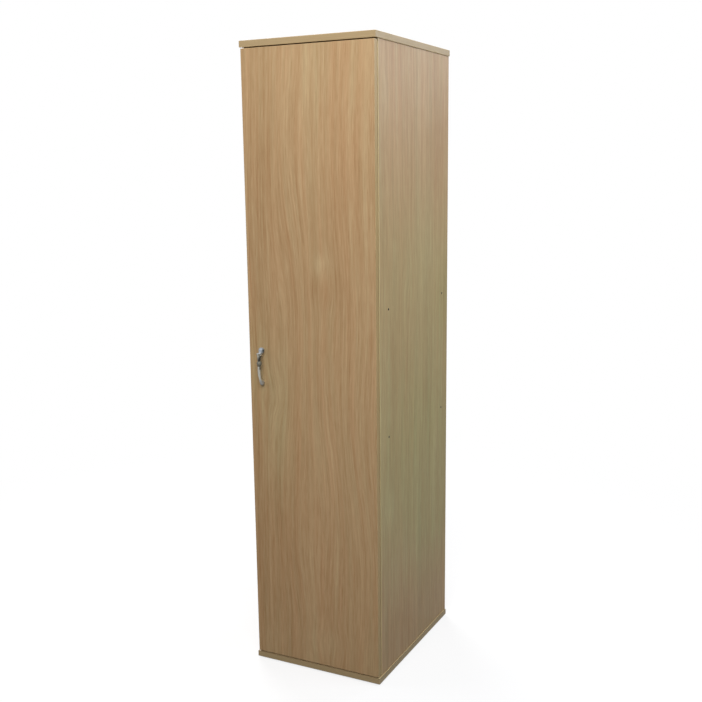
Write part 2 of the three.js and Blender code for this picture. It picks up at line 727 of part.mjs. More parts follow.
// The bow, pressed so that its crest stands exactly handleReach off the door.
function bow(seat) {
  const curve = new THREE.CatmullRomCurve3(bowPathShares.map(([reachShare, riseShare]) => new THREE.Vector3(
    handleX, -reachShare * handleReach, handleHeight + riseShare * handleSpacing)));
  const body = stringRound(curve, bowPlaceShares, bowRadii, bowSides);
  body.computeBoundingBox();
  const press = (boardSeam - handleReach) / body.boundingBox.min.y;
  return body.scale(1, press, 1).translate(0, seat, 0);
}

function handle() {
  const seat = panelFront - boardSeam;
  const knob = new THREE.SphereGeometry(knobRadius, ballSides, ballRings).rotateX(Math.PI / 2)
    .scale(1, knobDepth / knobRadius / 2, 1).translate(handleX, seat - knobDepth / 2, handleTop);
  const drop = new THREE.SphereGeometry(footRadius, ballSides, ballRings)
    .scale(1, 1, footLength / footRadius / 2).translate(handleX, seat - footRadius, handleFoot);
  const pads = [
    rod([handleX, seat, handleTop], 'y', -knobDepth / 2, knobSeatRadius),
    rod([handleX, seat, handleFoot], 'y', -footRadius, footRadius),
  ];
  const screwHoles = [handleTop, handleFoot]
    .map((z) => hole([handleX, seat, z], 'y', -handleScrewGrip, handleScrewRadius));
  return meshOf('handle', cutBy(joined([bow(seat), knob, drop, ...pads]), screwHoles), nickel);
}

function handleScrew(name, z) {
  const half = handleScrewHeadHeight / 2;
  const shank = doorThickness + boardSeam + handleScrewGrip;
  const slot = block(
    [handleX - handleScrewHeadRadius, doorBack + half, z - screwSlotWidth / 2],
    [handleX + handleScrewHeadRadius, doorBack + handleScrewHeadHeight + cutOverrun, z + screwSlotWidth / 2]);
  const body = joined([
    rod([handleX, doorBack + boardSeam, z], 'y', handleScrewHeadHeight, handleScrewHeadRadius),
    rod([handleX, doorBack + half, z], 'y', -(shank + half), handleScrewRadius, pinSides),
  ]);
  return meshOf(name, cutBy(body, [slot]), zincPlate);
}

const wardrobe = new THREE.Group();
wardrobe.add(topPanel(), bottomPanel(), backPanel(), door());
wardrobe.add(sidePanel('side_panel_left', -1), sidePanel('side_panel_right', 1));
wardrobe.add(shelf('shelf_lower', lowerShelfHeight), shelf('shelf_upper', upperShelfHeight));
hingeLevels.forEach((level, index) => {
  const number = index + 1;
  wardrobe.add(
    hingeCup(`hinge_cup_${number}`, level),
    outerLink(`hinge_outer_link_${number}`, level),
    innerLink(`hinge_inner_link_${number}`, level),
    hingeArm(`hinge_arm_${number}`, level),
    hingePlate(`hinge_plate_${number}`, level),
  );
});
for (const [side, hand] of [['left', -1], ['right', 1]]) {
  ['front', 'rear'].forEach((row, index) => {
    for (const [height, level] of [['lower', lowerShelfHeight], ['upper', upperShelfHeight]]) {
      wardrobe.add(shelfScrew(`shelf_screw_${height}_${side}_${row}`, hand, shelfScrewPlaces[index], level));
    }
    for (const [end, direction] of [['top', 1], ['bottom', -1]]) {
      wardrobe.add(camFitting(`cam_fitting_${end}_${side}_${row}`, hand, camPlaces[index], direction));
    }
  });
  wardrobe.add(railSocket(`rail_socket_${side}`, hand));
}
wardrobe.add(hangingRail());
glidePlaces.forEach((place, index) => wardrobe.add(glide(`glide_${index + 1}`, place)));
wardrobe.add(doorBumper('door_bumper_lower', doorBase + bumperEndDistance));
wardrobe.add(doorBumper('door_bumper_upper', doorTop - bumperEndDistance));
wardrobe.add(handle());
wardrobe.add(handleScrew('handle_screw_upper', handleTop), handleScrew('handle_screw_lower', handleFoot));

export default wardrobe;
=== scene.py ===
"""Looks for the tall beech-effect wardrobe.

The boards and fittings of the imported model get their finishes, the bow handle is modelled as one
casting, and a pale studio is set up with a camera at the photograph's viewing angle.
"""
import json
import logging
import math
from bisect import bisect_left
from dataclasses import dataclass, replace
from enum import Enum
from functools import reduce
from operator import add
from typing import Any, Mapping, Sequence

import bpy
from mathutils import Matrix, Vector

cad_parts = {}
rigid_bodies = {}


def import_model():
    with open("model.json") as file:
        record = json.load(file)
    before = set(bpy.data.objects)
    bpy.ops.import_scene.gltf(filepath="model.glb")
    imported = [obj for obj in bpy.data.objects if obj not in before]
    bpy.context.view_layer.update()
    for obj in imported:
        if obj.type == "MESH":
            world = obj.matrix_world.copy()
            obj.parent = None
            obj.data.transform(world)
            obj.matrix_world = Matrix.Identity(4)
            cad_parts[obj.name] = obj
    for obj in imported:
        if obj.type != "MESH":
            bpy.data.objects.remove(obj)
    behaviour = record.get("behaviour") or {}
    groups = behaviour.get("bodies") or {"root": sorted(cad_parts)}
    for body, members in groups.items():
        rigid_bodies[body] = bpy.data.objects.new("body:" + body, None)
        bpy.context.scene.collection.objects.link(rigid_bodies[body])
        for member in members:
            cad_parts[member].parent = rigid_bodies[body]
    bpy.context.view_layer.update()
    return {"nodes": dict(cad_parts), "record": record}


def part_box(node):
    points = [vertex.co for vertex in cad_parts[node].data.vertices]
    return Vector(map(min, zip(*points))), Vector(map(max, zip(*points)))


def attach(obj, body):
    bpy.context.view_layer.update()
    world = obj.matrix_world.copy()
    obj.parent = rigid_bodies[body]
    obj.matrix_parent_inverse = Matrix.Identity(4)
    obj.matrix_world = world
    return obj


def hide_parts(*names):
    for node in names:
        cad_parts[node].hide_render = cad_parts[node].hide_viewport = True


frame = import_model()

LOG = logging.getLogger("wardrobe")
Triple = tuple[float, float, float]
Colour = Triple
Range = tuple[float, float]
MILLI = 0.001
WHITE: Colour = (1.0, 1.0, 1.0)


# ---------------------------------------------------------------- colours


CHANNEL_FULL = 255
CURVE_KNEE = 0.04045
CURVE_SLOPE = 12.92
CURVE_SHIFT = 0.055
CURVE_POWER = 2.4


def linear_channel(value: int) -> float:
    """Turns one channel of a screen colour into its linear value.

    Args:
        value: the channel as a screen shows it, 0 to 255.

    Returns:
        The linear value that shaders use, 0 to 1.
    """
    share = value / CHANNEL_FULL
    if share <= CURVE_KNEE:
        return share / CURVE_SLOPE
    return ((share + CURVE_SHIFT) / (1.0 + CURVE_SHIFT)) ** CURVE_POWER


def linear(red: int, green: int, blue: int) -> Colour:
    """Turns a screen colour of 0 to 255 into the linear values that shaders use."""
    return linear_channel(red), linear_channel(green), linear_channel(blue)


def tinted(colour: Colour, factors: Colour) -> Colour:
    """Multiplies a colour channel by channel."""
    return tuple(value * factor for value, factor in zip(colour, factors))


# ---------------------------------------------------------------- shader arithmetic


NOISE_MIDDLE = 0.5


class Blend(Enum):
    """How a Mix node combines two colours."""

    MIX = "MIX"
    MULTIPLY = "MULTIPLY"


class Signal:
    """One output of a node, which can be used in ordinary arithmetic."""

    def __init__(self, graph: "Graph", socket: bpy.types.NodeSocket) -> None:
        """Keeps the socket and the graph that it belongs to."""
        self.graph = graph
        self.socket = socket

    def __add__(self, other: Any) -> "Signal":
        """Adds a number or a signal."""
        return self.graph.math("ADD", self, other)

    def __radd__(self, other: Any) -> "Signal":
        """Adds this signal to a number."""
        return self.graph.math("ADD", other, self)

    def __sub__(self, other: Any) -> "Signal":
        """Takes a number or a signal away."""
        return self.graph.math("SUBTRACT", self, other)

    def __rsub__(self, other: Any) -> "Signal":
        """Takes this signal away from a number."""
        return self.graph.math("SUBTRACT", other, self)

    def __mul__(self, other: Any) -> "Signal":
        """Multiplies by a number or a signal."""
        return self.graph.math("MULTIPLY", self, other)

    def __rmul__(self, other: Any) -> "Signal":
        """Multiplies a number by this signal."""
        return self.graph.math("MULTIPLY", other, self)

    def __truediv__(self, other: Any) -> "Signal":
        """Divides by a number or a signal."""
        return self.graph.math("DIVIDE", self, other)

    def __rtruediv__(self, other: Any) -> "Signal":
        """Divides a number by this signal."""
        return self.graph.math("DIVIDE", other, self)

    def __abs__(self) -> "Signal":
        """Drops the sign."""
        return self.graph.math("ABSOLUTE", self)

    def sine(self) -> "Signal":
        """The sine of this signal in radians."""
        return self.graph.math("SINE", self)

    def exponential(self) -> "Signal":
        """The natural exponential of this signal."""
        return self.graph.math("EXPONENT", self)

    def power(self, exponent: float) -> "Signal":
        """Raises this signal to a power."""
        return self.graph.math("POWER", self, exponent)

    def rise(self, low: float, high: float) -> "Signal":
        """Rises smoothly from 0 at low to 1 at high."""
        return self.graph.node("ShaderNodeMapRange", {"interpolation_type": "SMOOTHSTEP"},
                               {"Value": self, "From Min": low, "From Max": high})

    def between(self, low: float, high: float, soft: float) -> "Signal":
        """1 from low to high and 0 outside, with both edges as wide as twice soft."""
        return self.rise(low - soft, low + soft) * (1.0 - self.rise(high - soft, high + soft))

    def clamped(self) -> "Signal":
        """Keeps the signal between 0 and 1."""
        return self.graph.node("ShaderNodeClamp", {}, {"Value": self})


class Graph:
    """A node tree that is filled by calls."""

    # A Mix node's factor, colours and result go by number, because their names repeat.
    MIX_FACTOR, MIX_FIRST, MIX_SECOND, MIX_RESULT = 0, 6, 7, 2

    def __init__(self, tree: bpy.types.NodeTree) -> None:
        """Empties the tree and keeps it."""
        self.tree = tree
        self.tree.nodes.clear()

    def _put(self, socket: bpy.types.NodeSocket, value: Any) -> None:
        """Links a signal to an input, or writes a value on it.

        Args:
            socket: the input.
            value: a signal, a number or a colour.
        """
        if isinstance(value, Signal):
            self.tree.links.new(value.socket, socket)
        elif isinstance(value, tuple) and socket.type == "RGBA":
            socket.default_value = (*value, 1.0)
        else:
            socket.default_value = value

    def node(self, kind: str, settings: Mapping[str, Any], sockets: Mapping[Any, Any],
             output: Any = 0) -> Signal:
        """Adds one node.

        Args:
            kind: the node's type.
            settings: the node's properties, which are set first.
            sockets: values or signals by input name or number.
            output: name or number of the output that is used.

        Returns:
            The chosen output as a signal.
        """
        made = self.tree.nodes.new(kind)
        for name, value in settings.items():
            setattr(made, name, value)
        for name, value in sockets.items():
            self._put(made.inputs[name], value)
        return Signal(self, made.outputs[output])

    def math(self, operation: str, *values: Any) -> Signal:
        """Adds a Math node for numbers and signals."""
        return self.node("ShaderNodeMath", {"operation": operation}, dict(enumerate(values)))

    def position(self) -> tuple[Signal, Signal, Signal]:
        """The point's own x, y and z on its object."""
        point = self.node("ShaderNodeTexCoord", {}, {}, "Object")
        return tuple(self.node("ShaderNodeSeparateXYZ", {}, {0: point}, axis) for axis in "XYZ")

    def vector(self, x: Any, y: Any, z: Any) -> Signal:
        """Combines three values into a vector."""
        return self.node("ShaderNodeCombineXYZ", {}, {0: x, 1: y, 2: z})

    def stretched(self, point: Sequence[Signal], scales: Triple) -> Signal:
        """A point with its three values scaled, as a vector."""
        return self.vector(*(value * scale for value, scale in zip(point, scales)))

    def noise(self, place: Signal, scale: float = 1.0, detail: float = 2.0,
              roughness: float = 0.5) -> Signal:
        """Smooth noise about its middle value."""
        sockets = {"Vector": place, "Scale": scale, "Detail": detail, "Roughness": roughness}
        return self.node("ShaderNodeTexNoise", {}, sockets, "Fac")

    def ripple(self, place: Signal, **settings: float) -> Signal:
        """Smooth noise about zero, with the scale, detail and roughness of noise."""
        return self.noise(place, **settings) - NOISE_MIDDLE

    def mix(self, factor: Any, first: Any, second: Any, blend: Blend = Blend.MIX) -> Signal:
        """Mixes two colours.

        Args:
            factor: 0 for the first colour, 1 for the second one.
            first: a colour or a signal.
            second: a colour or a signal.
            blend: how they are combined.

        Returns:
            The mixed colour.
        """
        settings = {"data_type": "RGBA", "blend_type": blend.value}
        sockets = {self.MIX_FACTOR: factor, self.MIX_FIRST: first, self.MIX_SECOND: second}
        return self.node("ShaderNodeMix", settings, sockets, self.MIX_RESULT)

    def times(self, colour: Any, other: Any) -> Signal:
        """Multiplies two colours channel by channel."""
        return self.mix(1.0, colour, other, Blend.MULTIPLY)

    def scaled(self, colour: Any, factor: Signal) -> Signal:
        """Multiplies a colour by a grey factor."""
        grey = self.node("ShaderNodeCombineColor", {}, {0: factor, 1: factor, 2: factor})
        return self.times(colour, grey)

    def bump(self, height: Signal, distance: float) -> Signal:
        """A normal that follows a height."""
        return self.node("ShaderNodeBump", {}, {"Height": height, "Distance": distance}, "Normal")

    def surface(self, sockets: Mapping[str, Any]) -> None:
        """Ends the tree in a Principled surface with the given sockets."""
        self.end(self.node("ShaderNodeBsdfPrincipled", {}, sockets))

    def end(self, shader: Signal, kind: str = "ShaderNodeOutputMaterial") -> None:
        """Adds the tree's output and links the shader to it."""
        made = self.tree.nodes.new(kind)
        self.tree.links.new(shader.socket, made.inputs["Surface"])


def new_material(name: str) -> tuple[bpy.types.Material, Graph]:
    """Makes a node material.

    Args:
        name: its name.

    Returns:
        The material and its empty graph.
    """
    material = bpy.data.materials.new(name)
    material.use_nodes = True
    return material, Graph(material.node_tree)


def oval(across: Signal, along: Signal) -> Signal:
    """1 in the middle of a spot, fading smoothly to 0 past a distance of 1."""
    return ((across * across + along * along) * -1.0).exponential()


# ---------------------------------------------------------------- beech laminate


class Lie(Enum):
    """How a board lies: its axes across the grain, through its thickness and along the grain.

    The wardrobe's width is axis 0, its depth axis 1 and its height axis 2.
    """

    FACING = (0, 1, 2)
    SIDEWAYS = (1, 0, 2)
    FLAT = (1, 2, 0)


@dataclass(frozen=True)
class Figure:
    """An oval spot where the printed grain bulges, leans or pales, or where a painted highlight or
    a painted green reflection lies.

    It is placed in metres from the board's middle.
    """

    across: float
    along: float
    width: float
    length: float
    push: float = 0.0
    lean: float = 0.0
    tone: float = 0.0
    # share of the painted green reflection
    cast: float = 0.0


@dataclass(frozen=True)
class Board:
    """One board: how it lies, where its piece of the pattern starts, its own tints, and the arris
    tint, which paints a highlight along the edges on most boards and shade on the bottom panel.
    """

    node: str
    lie: Lie
    offset: float
    figures: tuple[Figure, ...] = ()
    contrast: float = 1.0
    shade: float = 1.0
    edge: Colour = WHITE
    # arris tint: a painted highlight when pale, painted shade when dark
    arris: Colour = WHITE
    arris_share: float = 0.3


@dataclass(frozen=True)
class Streaks:
    """One layer of streaks: how dense and how short they are, and how much they count."""

    density: float
    shortness: float
    amount: float = 1.0
    detail: float = 1.0
    roughness: float = 0.55
    shift: float = 0.37


@dataclass(frozen=True)
class Pattern:
    """The printed pattern on one board, in metres across and along its lines."""

    graph: Graph
    across: Signal
    along: Signal
    offset: float

    def layer(self, streaks: Streaks) -> Signal:
        """Prints one layer of streaks.

        Args:
            streaks: the layer.

        Returns:
            Its tone about zero, before its amount.
        """
        level = self.offset + streaks.density * streaks.shift
        place = self.graph.vector(self.across * streaks.density, level,
                                  self.along * streaks.shortness)
        return self.graph.ripple(place, detail=streaks.detail, roughness=streaks.roughness)

    def layers(self, several: Sequence[Streaks]) -> Signal:
        """Adds up several layers, each by its amount."""
        return reduce(add, (self.layer(streaks) * streaks.amount for streaks in several))


@dataclass(frozen=True)
class BeechLaminate:
    """Satin beech-effect laminate with matching edge banding, painted highlights and painted shade
    along the arrises, and a painted green reflection.
    """

    light: Colour = linear(191, 165, 126)
    dark: Colour = linear(146, 111, 73)
    pinker: Colour = (1.055, 0.955, 0.925)
    greener: Colour = (0.945, 1.03, 1.035)
    banding: Colour = linear(163, 142, 106)
    # The arris line is lighter: partly the paler core of the trimmed edging, partly a painted
    # highlight.
    arris: Colour = linear(192, 170, 126)
    pore: Colour = linear(112, 80, 50)
    # painted green reflection: the tint laid over the printed face
    cast: Colour = (0.88, 1.07, 0.93)
    along_shift: float = 3.7
    bends: tuple[Streaks, ...] = (
        Streaks(3.1, 0.8, 0.05, roughness=0.5, shift=1.0),
        Streaks(8.0, 1.7, 0.012, roughness=0.5, shift=1.0),
        Streaks(19.0, 4.0, 0.002, roughness=0.5, shift=1.0),
    )
    tone_layers: tuple[Streaks, ...] = (
        Streaks(11.0, 0.45, 0.3),
        Streaks(34.0, 0.6, 0.2),
        Streaks(82.0, 1.6, 0.86, detail=2.0, roughness=0.7),
        Streaks(210.0, 6.0, 0.8, detail=2.0, roughness=0.7),
        Streaks(560.0, 26.0, 0.75),
    )
    pink_layers: tuple[Streaks, ...] = (
        Streaks(9.0, 0.5, 0.5),
        Streaks(47.0, 1.9, 1.25, detail=2.0, roughness=0.7),
    )
    tone_gain: float = 0.75
    middle: float = 0.5
    line_density: float = 560.0
    line_wander: Streaks = Streaks(15.0, 0.8, 30.0)
    line_groups: Streaks = Streaks(6.0, 1.1)
    group_edges: Range = (-0.1, 0.12)
    ungrouped: float = 0.25
    line_share: float = 0.045
    pore_density: float = 900.0
    pore_level: float = 25.0
    pore_shortness: float = 75.0
    pore_edges: Range = (0.66, 0.8)
    pore_share: float = 0.3
    band_scales: Triple = (5.0, 420.0, 5.0)
    band_share: float = 0.3
    arris_from: Range = (0.06 * MILLI, 0.36 * MILLI)
    band_from: Range = (0.66 * MILLI, 1.08 * MILLI)
    dull_scales: Triple = (30.0, 30.0, 8.0)
    dull_share: float = 0.14
    pore_dull: float = 0.15
    roughness: float = 0.42
    sheen: float = 0.14
    tone_height: float = 0.6
    relief: float = 0.04 * MILLI

    def _bent(self, graph: Graph, board: Board, across: Signal,
              along: Signal) -> tuple[Pattern, Any, Any]:
        """Bends the pattern's lines.

        Args:
            graph: the tree to add to.
            board: the board that is dressed.
            across: distance across the grain from the board's middle.
            along: distance along the grain from the board's middle.

        Returns:
            The bent pattern, and what the figures add to its tone and to its painted green
            reflection.
        """
        flat = Pattern(graph, across + board.offset, along + board.offset * self.along_shift,
                       board.offset)
        bent = flat.across
        for bend in self.bends:
            bent = bent + flat.layer(bend) * bend.amount
        tone: Any = 0.0
        cast: Any = 0.0
        for figure in board.figures:
            x = (across - figure.across) / figure.width
            y = (along - figure.along) / figure.length
            core = oval(x, y)
            moved = y * (figure.lean * figure.length) - x * (figure.push * figure.width)
            bent = bent + core * moved
            tone = core * figure.tone + tone
            cast = core * figure.cast + cast if figure.cast else cast
        return replace(flat, across=bent), tone, cast

    def _grain(self, graph: Graph, board: Board, across: Signal,
               along: Signal) -> tuple[Signal, Signal, Signal, Any]:
        """Prints the grain.

        Args:
            graph: the tree to add to.
            board: the board that is dressed.
            across: distance across the grain from the board's middle.
            along: distance along the grain from the board's middle.

        Returns:
            The tone from dark to light, the pinkness, the pores and the painted green reflection.
        """
        pattern, figure_tone, cast = self._bent(graph, board, across, along)
        groups = pattern.layer(self.line_groups).rise(*self.group_edges)
        swing = (pattern.across * self.line_density
                 + pattern.layer(self.line_wander) * self.line_wander.amount)
        lines = swing.sine() * (groups * (1.0 - self.ungrouped) + self.ungrouped)
        tone = pattern.layers(self.tone_layers) + lines * self.line_share
        tone = tone * (self.tone_gain * board.contrast) + self.middle + figure_tone
        pink = pattern.layers(self.pink_layers) * board.contrast + self.middle - figure_tone
        place = graph.vector(pattern.across * self.pore_density, self.pore_level,
                             pattern.along * self.pore_shortness)
        pores = graph.noise(place, detail=1.0).rise(*self.pore_edges)
        return tone.clamped(), pink.clamped(), pores, cast

    def material(self, board: Board) -> bpy.types.Material:
        """Builds the laminate for one board.

        Args:
            board: the board that is dressed.

        Returns:
            The finished material.
        """
        material, graph = new_material("beech_laminate_" + board.node)
        low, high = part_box(board.node)
        middle = (low + high) / 2
        place = graph.position()
        across, thin, along = (place[axis] - middle[axis] for axis in board.lie.value)
        half = (high - low)[board.lie.value[1]] / 2
        tone, pink, pores, cast = self._grain(graph, board, across, along)
        face = graph.times(graph.mix(tone, self.dark, self.light),
                           graph.mix(pink, self.greener, self.pinker))
        face = graph.mix(pores * self.pore_share, face, self.pore)
        # painted green reflection over the printed face
        face = graph.times(face, graph.mix(cast, WHITE, self.cast))
        speckle = graph.ripple(graph.stretched((across, thin, along), self.band_scales), detail=3.0)
        band = graph.scaled(tinted(self.banding, board.edge), speckle * self.band_share + 1.0)
        depth = half - abs(thin)
        on_band = depth.rise(*self.band_from)
        on_arris = depth.rise(*self.arris_from) * (1.0 - on_band)
        # the arris line: the paler edging core with a painted highlight, turned into painted shade
        # by a dark arris tint
        colour = graph.mix(on_arris * board.arris_share, graph.mix(on_band, face, band),
                           tinted(self.arris, board.arris))
        dull = graph.ripple(graph.stretched((across, thin, along), self.dull_scales), detail=3.0)
        graph.surface({
            "Base Color": graph.times(colour, (board.shade, board.shade, board.shade)),
            "Roughness": dull * self.dull_share + pores * self.pore_dull + self.roughness,
            "Normal": graph.bump(tone * self.tone_height - pores, self.relief),
            "Specular IOR Level": self.sheen,
        })
        return material


# ---------------------------------------------------------------- other finishes


@dataclass(frozen=True)
class Hardboard:
    """Thin fibre board: a plain beech-coloured print inside and bare brown fibre behind."""

    print_colour: Colour = linear(170, 140, 100)
    fibre: Colour = linear(112, 78, 50)
    fibre_light: Colour = linear(150, 112, 76)
    print_density: float = 60.0
    print_level: float = 2.0
    print_shortness: float = 1.6
    print_share: float = 0.35
    fibre_scale: float = 900.0
    cloud_scale: float = 14.0
    cloud_share: float = 0.3
    weave_scale: float = 2600.0
    weave_height: float = 0.5
    weave_share: float = 0.07
    rear_level: float = 0.85
    turn: float = 0.2 * MILLI
    roughness: float = 0.45
    rear_dull: float = 0.35
    relief: float = 0.2 * MILLI

    def material(self, node: str) -> bpy.types.Material:
        """Builds the board's material.

        Args:
            node: the board that is dressed.

        Returns:
            The finished material.
        """
        material, graph = new_material("hardboard_" + node)
        low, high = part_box(node)
        x, y, z = graph.position()
        place = graph.vector(x, y, z)
        lines = graph.vector(x * self.print_density, self.print_level, z * self.print_shortness)
        grain = graph.ripple(lines, detail=3.0)
        front = graph.scaled(self.print_colour, grain * self.print_share + 1.0)
        fibres = graph.noise(place, scale=self.fibre_scale, detail=4.0, roughness=0.7)
        clouds = graph.noise(place, scale=self.cloud_scale, detail=3.0)
        weave = (x * self.weave_scale).sine() * (z * self.weave_scale).sine() * self.weave_height
        rear = graph.scaled(graph.mix(fibres, self.fibre, self.fibre_light),
                            clouds * self.cloud_share + weave * self.weave_share + self.rear_level)
        behind = (y - (low.y + high.y) / 2).rise(-self.turn, self.turn)
        graph.surface({
            "Base Color": graph.mix(behind, front, rear),
            "Roughness": behind * self.rear_dull + self.roughness,
            "Normal": graph.bump((fibres + weave) * behind, self.relief),
        })
        return material


@dataclass(frozen=True)
class Metal:
    """Plated or bare metal with a fine brushed surface and a little tarnish."""

    name: str
    colour: Colour
    tarnish: Colour
    roughness: float
    tarnish_share: float
    tarnish_scale: float = 90.0
    tarnish_edges: Range = (0.45, 0.75)
    tarnish_film: float = 0.25
    tarnish_dull: float = 0.3
    brush: Triple = (900.0, 900.0, 60.0)
    brush_share: float = 0.16
    brush_dull: float = 0.12
    relief: float = 0.02 * MILLI

    def material(self) -> bpy.types.Material:
        """Builds the metal.

        Returns:
            The finished material.
        """
        material, graph = new_material(self.name)
        point = graph.position()
        spots = graph.noise(graph.vector(*point), scale=self.tarnish_scale, detail=4.0,
                            roughness=0.6)
        lines = graph.noise(graph.stretched(point, self.brush), detail=2.0)
        about = lines - NOISE_MIDDLE
        dark = spots.rise(*self.tarnish_edges) * self.tarnish_share
        graph.surface({
            "Base Color": graph.scaled(graph.mix(dark, self.colour, self.tarnish),
                                       about * self.brush_share + 1.0),
            "Metallic": 1.0 - dark * self.tarnish_film,
            "Roughness": about * self.brush_dull + dark * self.tarnish_dull + self.roughness,
            "Normal": graph.bump(lines, self.relief),
        })
        return material


@dataclass(frozen=True)
class Spot:
    """An oval spot on the handle, in millimetres right of its middle and above it."""

    right: float
    up: float
    width: float
    length: float
    share: float = 1.0

    def mask(self, right: Signal, up: Signal) -> Signal:
        """How strong the spot is at a point."""
        return oval((right - self.right) / self.width, (up - self.up) / self.length) * self.share


@dataclass(frozen=True)
class HandleNickel:
    """Cast antique nickel, bright on the bow, with painted light and shade: a bluish reflection on
    the knob, dark reflections and shade in the necks beside collar and bulb, glints on the collar
    and shade under the foot.

    Its zones are heights in millimetres above the handle's middle: from, to, and how soft their
    edges are. Each "from" pair is the height where a zone starts and where it is full.
    """

    bright: Colour = linear(196, 195, 184)
    # painted bluish reflection on the knob
    knob_reflection: Colour = linear(156, 164, 170)
    # painted dark reflection on the bulb, the neck and the collar
    dull: Colour = linear(116, 114, 102)
    # painted shade and dark reflection: the near-black of the necks, the waist, the foot's tip and
    # the dark spots
    dark: Colour = linear(44, 42, 34)
    # painted highlight colour of the glints
    glint: Colour = linear(246, 238, 216)
    foot: Colour = linear(166, 164, 157)
    collar_zone: Triple = (37.0, 42.0, 0.5)
    neck_zone: Triple = (19.0, 37.0, 1.5)
    bulb_zone: Triple = (4.0, 19.0, 1.5)
    aged_zone: Triple = (4.0, 37.0, 3.0)
    waist_zone: Triple = (-5.0, 5.0, 4.0)
    knob_from: Range = (41.5, 43.0)
    foot_from: Range = (-34.0, -40.0)
    tip_from: Range = (-53.0, -58.0)
    # where the painted shade lies on the waist's right side and on the neck's right side
    waist_side: Range = (0.5, 3.0)
    neck_side: Range = (-3.0, 3.0)
    neck_slope: float = 0.45
    neck_shift: float = 12.5
    collar_slope: float = 0.15
    collar_unevenness: float = 1.5
    zone_unevenness: float = 5.0
    # shares of the painted dark reflection on the neck and the collar
    neck_dark_reflection: float = 0.6
    collar_dark_reflection: float = 0.7
    # shares of the painted shade on the neck, the waist and the foot's tip
    neck_shade: float = 0.9
    waist_shade: float = 0.7
    tip_shade: float = 0.6
    # painted highlights on the collar and above it
    glints: tuple[Spot, ...] = (
        Spot(-2.0, 41.2, 2.8, 1.3), Spot(7.3, 37.4, 2.0, 1.6), Spot(4.5, 43.2, 1.6, 1.2, 0.5))
    # painted dark reflection on the collar's front, painted dark reflection and shade on the knob's
    # right side
    dark_reflections: tuple[Spot, ...] = (Spot(3.6, 39.4, 1.9, 1.2, 0.8), Spot(8.1, 50.0, 2.0, 5.0))
    cloud_scale: float = 160.0
    cloud_share: float = 0.4
    grain_scale: float = 1400.0
    grain_share: float = 0.1
    # how much metal the painted highlights lose, so that their colour shows
    glint_nonmetal: float = 0.8
    knob_film: float = 0.6
    aged_film: float = 0.4
    foot_film: float = 0.5
    roughness: float = 0.46
    grain_matt: float = 0.08
    aged_matt: float = 0.25
    collar_matt: float = 0.2
    knob_matt: float = 0.22
    grain_height: float = 0.3
    relief: float = 0.12 * MILLI

    def material(self, centre_x: float, height: float) -> bpy.types.Material:
        """Builds the handle's material, zoned by height along the bow.

        Args:
            centre_x: the handle's middle across the door.
            height: the handle's middle above the floor.

        Returns:
            The finished material.
        """
        material, graph = new_material("handle_nickel")
        x, y, z = graph.position()
        right, up = (x - centre_x) / MILLI, (z - height) / MILLI
        place = graph.vector(x, y, z)
        cloud = graph.ripple(place, scale=self.cloud_scale, detail=3.0)
        grain = graph.ripple(place, scale=self.grain_scale, detail=2.0)
        level = up + cloud * self.zone_unevenness
        sloped = up + right * self.collar_slope + cloud * self.collar_unevenness
        collar, knob = sloped.between(*self.collar_zone), sloped.rise(*self.knob_from)
        neck, bulb = level.between(*self.neck_zone), level.between(*self.bulb_zone)
        aged, waist = level.between(*self.aged_zone), level.between(*self.waist_zone)
        foot, tip = level.rise(*self.foot_from), level.rise(*self.tip_from)
        # painted shade on the right side of the neck
        shaded = (right - up * self.neck_slope + self.neck_shift).rise(*self.neck_side)
        # painted highlights
        glints = reduce(add, (spot.mask(right, up) for spot in self.glints)).clamped()
        colour: Any = self.bright
        for share, layer in (
            # painted bluish reflection on the knob
            (knob, self.knob_reflection),
            # painted dark reflection on the bulb, the neck and the collar
            (bulb, self.dull),
            (neck * self.neck_dark_reflection + collar * self.collar_dark_reflection, self.dull),
            # painted shade on the right sides of the neck and the waist
            (neck * shaded * self.neck_shade, self.dark),
            (waist * right.rise(*self.waist_side) * self.waist_shade, self.dark),
            # painted dark reflections on the collar and the knob
            *((spot.mask(right, up), self.dark) for spot in self.dark_reflections),
            # painted highlights
            (glints, self.glint),
            (foot, self.foot),
            # painted shade under the foot's tip
            (tip * self.tip_shade, self.dark),
        ):
            colour = graph.mix(share, colour, layer)
        matt = aged * self.aged_matt + collar * self.collar_matt + knob * self.knob_matt
        graph.surface({
            "Base Color": graph.scaled(
                colour, cloud * self.cloud_share + grain * self.grain_share + 1.0),
            # less metal at the painted highlights, so that their colour shows
            "Metallic": (1.0 - glints * self.glint_nonmetal - knob * self.knob_film
                         - aged * self.aged_film - foot * self.foot_film),
            "Roughness": grain * self.grain_matt + matt + self.roughness,
            "Normal": graph.bump(cloud + grain * self.grain_height, self.relief),
        })
        return material


